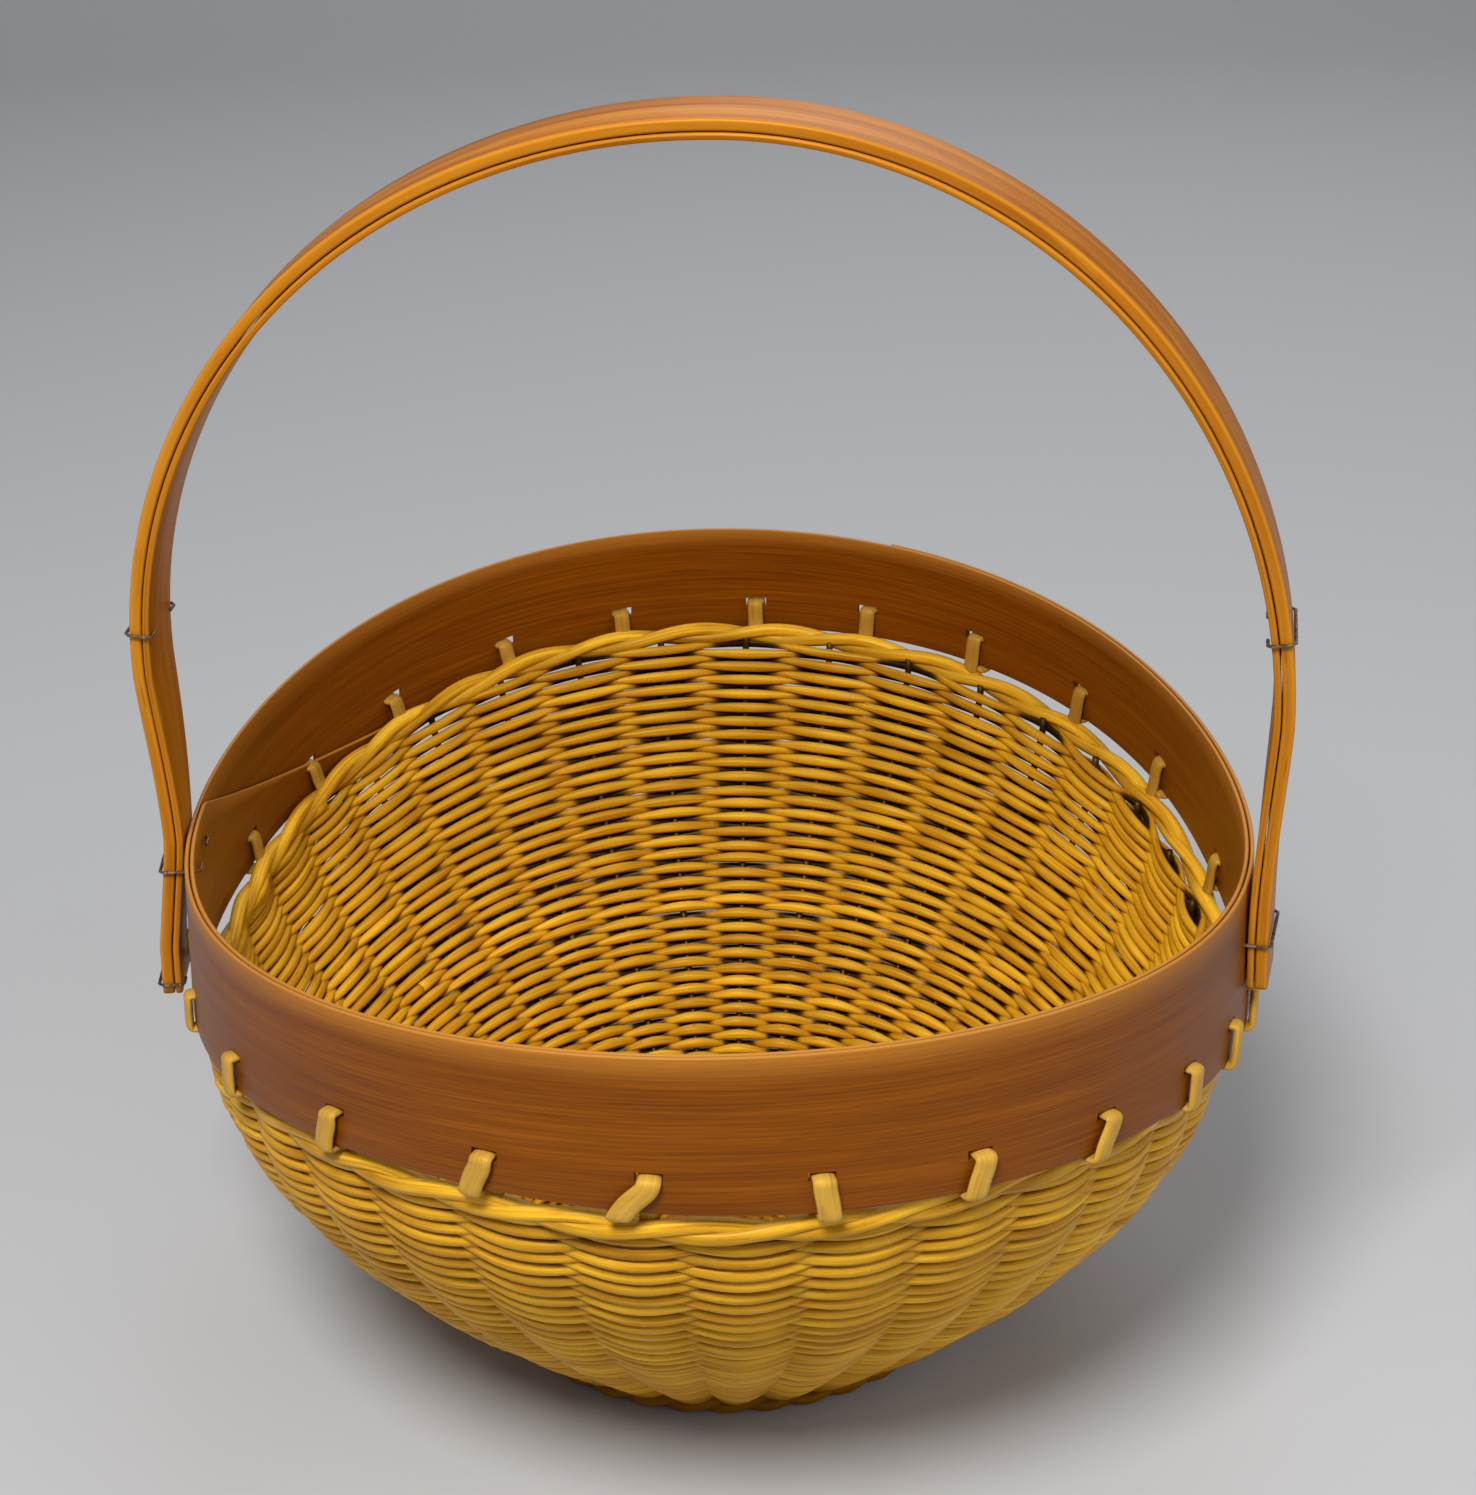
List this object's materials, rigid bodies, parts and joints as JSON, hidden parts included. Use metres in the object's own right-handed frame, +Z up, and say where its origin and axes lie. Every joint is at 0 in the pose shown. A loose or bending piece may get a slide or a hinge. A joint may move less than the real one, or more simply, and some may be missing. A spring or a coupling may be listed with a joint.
{
  "type": "handled basket",
  "caption": "Round-bottomed woven reed basket laced under a wide bentwood rim band, with a tall fixed hoop handle stapled outside the band.",
  "frame": {"origin": "centre of the base disc's flat underside, on the surface that the basket stands on, with the bowl's axis through it", "axes": "+Z up along the bowl's axis; -Y is the side that faces the camera in the picture; +X is the picture's right, and the handle spans from -X to +X"},
  "size_m": [0.2958, 0.3352, 0.3477],
  "materials": {
    "veneer": "satin bent veneer",
    "bentwood": "satin bentwood",
    "reed": "natural round reed",
    "border_reed": "natural round reed",
    "tie_reed": "smooth flat-oval reed",
    "base_reed": "coarse round reed",
    "steel_wire": "dull wire"
  },
  "bodies": {
    "root": {"rim_band": "veneer", "woven_bowl": "reed", "top_border": "border_reed", "base_disc": "base_reed", "handle_outer_ply": "bentwood", "handle_inner_ply": "bentwood", "staple_left_band": "steel_wire", "staple_right_band": "steel_wire", "clip_left_spring": "steel_wire", "clip_right_spring": "steel_wire", "clip_left_foot": "steel_wire", "lacing_tie_01": "tie_reed", "lacing_tie_02": "tie_reed", "lacing_tie_03": "tie_reed", "lacing_tie_04": "tie_reed", "lacing_tie_05": "tie_reed", "lacing_tie_06": "tie_reed", "lacing_tie_07": "tie_reed", "lacing_tie_08": "tie_reed", "lacing_tie_09": "tie_reed", "lacing_tie_10": "tie_reed", "lacing_tie_11": "tie_reed", "lacing_tie_12": "tie_reed", "lacing_tie_13": "tie_reed", "lacing_tie_14": "tie_reed", "lacing_tie_15": "tie_reed", "lacing_tie_16": "tie_reed", "lacing_tie_17": "tie_reed", "lacing_tie_18": "tie_reed", "lacing_tie_19": "tie_reed", "lacing_tie_20": "tie_reed", "lacing_tie_21": "tie_reed", "lacing_tie_22": "tie_reed", "lacing_tie_23": "tie_reed", "lacing_tie_24": "tie_reed"}
  },
  "joints": []
}
